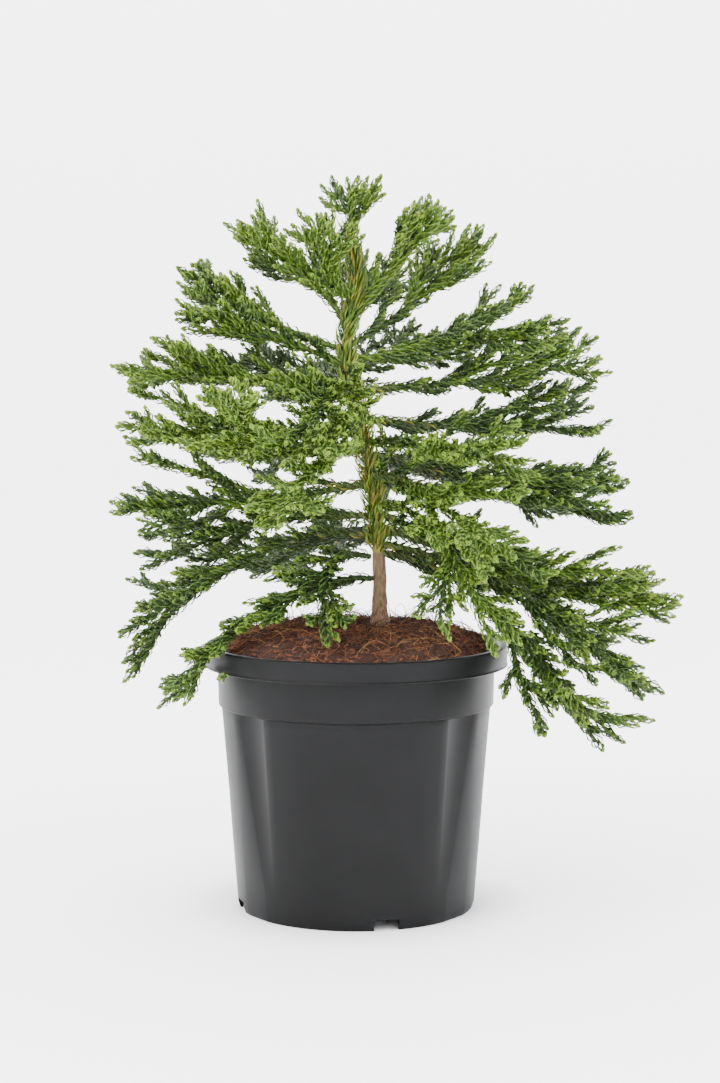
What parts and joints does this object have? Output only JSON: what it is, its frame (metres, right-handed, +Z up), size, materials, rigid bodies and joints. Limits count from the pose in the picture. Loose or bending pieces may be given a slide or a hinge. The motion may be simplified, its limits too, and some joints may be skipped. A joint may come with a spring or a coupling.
{
  "type": "spiral japanese cedar in nursery pot",
  "caption": "Young bushy conifer with rope-like twisted shoots on spreading boughs, standing in coir mulch in a round black fluted nursery pot.",
  "frame": {"origin": "middle of the pot's underside, on the surface it stands on", "axes": "+Z up, -Y towards the side that the picture shows, +X to that side's right"},
  "size_m": [0.4806, 0.4133, 0.6131],
  "materials": {
    "pot_plastic": "satin",
    "coir_mulch": "matte",
    "bark": "matte",
    "green_bark": "matte",
    "foliage": "satin"
  },
  "bodies": {
    "root": {"bough_back_left_low": "green_bark", "bough_back_left_mid": "green_bark", "bough_back_right_low": "green_bark", "bough_back_right_mid": "green_bark", "bough_front_left": "green_bark", "bough_front_mid": "green_bark", "bough_front_right_mid": "green_bark", "bough_left_droop": "green_bark", "bough_left_low": "green_bark", "bough_left_mid": "green_bark", "bough_left_mid_low": "green_bark", "bough_right_back": "green_bark", "bough_right_droop": "green_bark", "bough_right_far": "green_bark", "bough_right_low": "green_bark", "bough_right_low_front": "green_bark", "bough_right_mid": "green_bark", "bough_right_mid_low": "green_bark", "bough_right_upper": "green_bark", "pot": "pot_plastic", "soil": "coir_mulch", "spray_back_high": "foliage", "spray_back_left_high": "foliage", "spray_back_left_low": "foliage", "spray_back_left_mid": "foliage", "spray_back_mid": "foliage", "spray_back_right_high": "foliage", "spray_back_right_low": "foliage", "spray_back_right_mid": "foliage", "spray_front_high": "foliage", "spray_front_left": "foliage", "spray_front_low": "foliage", "spray_front_mid": "foliage", "spray_front_right_high": "foliage", "spray_front_right_low": "foliage", "spray_front_right_mid": "foliage", "spray_high_left": "foliage", "spray_high_left_low": "foliage", "spray_high_right": "foliage", "spray_high_right_low": "foliage", "spray_leader": "foliage", "spray_left_droop": "foliage", "spray_left_droop_front": "foliage", "spray_left_high": "foliage", "spray_left_low": "foliage", "spray_left_mid": "foliage", "spray_left_mid_low": "foliage", "spray_right_back": "foliage", "spray_right_droop": "foliage", "spray_right_far": "foliage", "spray_right_low": "foliage", "spray_right_low_front": "foliage", "spray_right_mid": "foliage", "spray_right_mid_low": "foliage", "spray_right_upper": "foliage", "spray_top_front": "foliage", "spray_top_left": "foliage", "spray_top_right": "foliage", "trunk": "bark"}
  },
  "joints": []
}
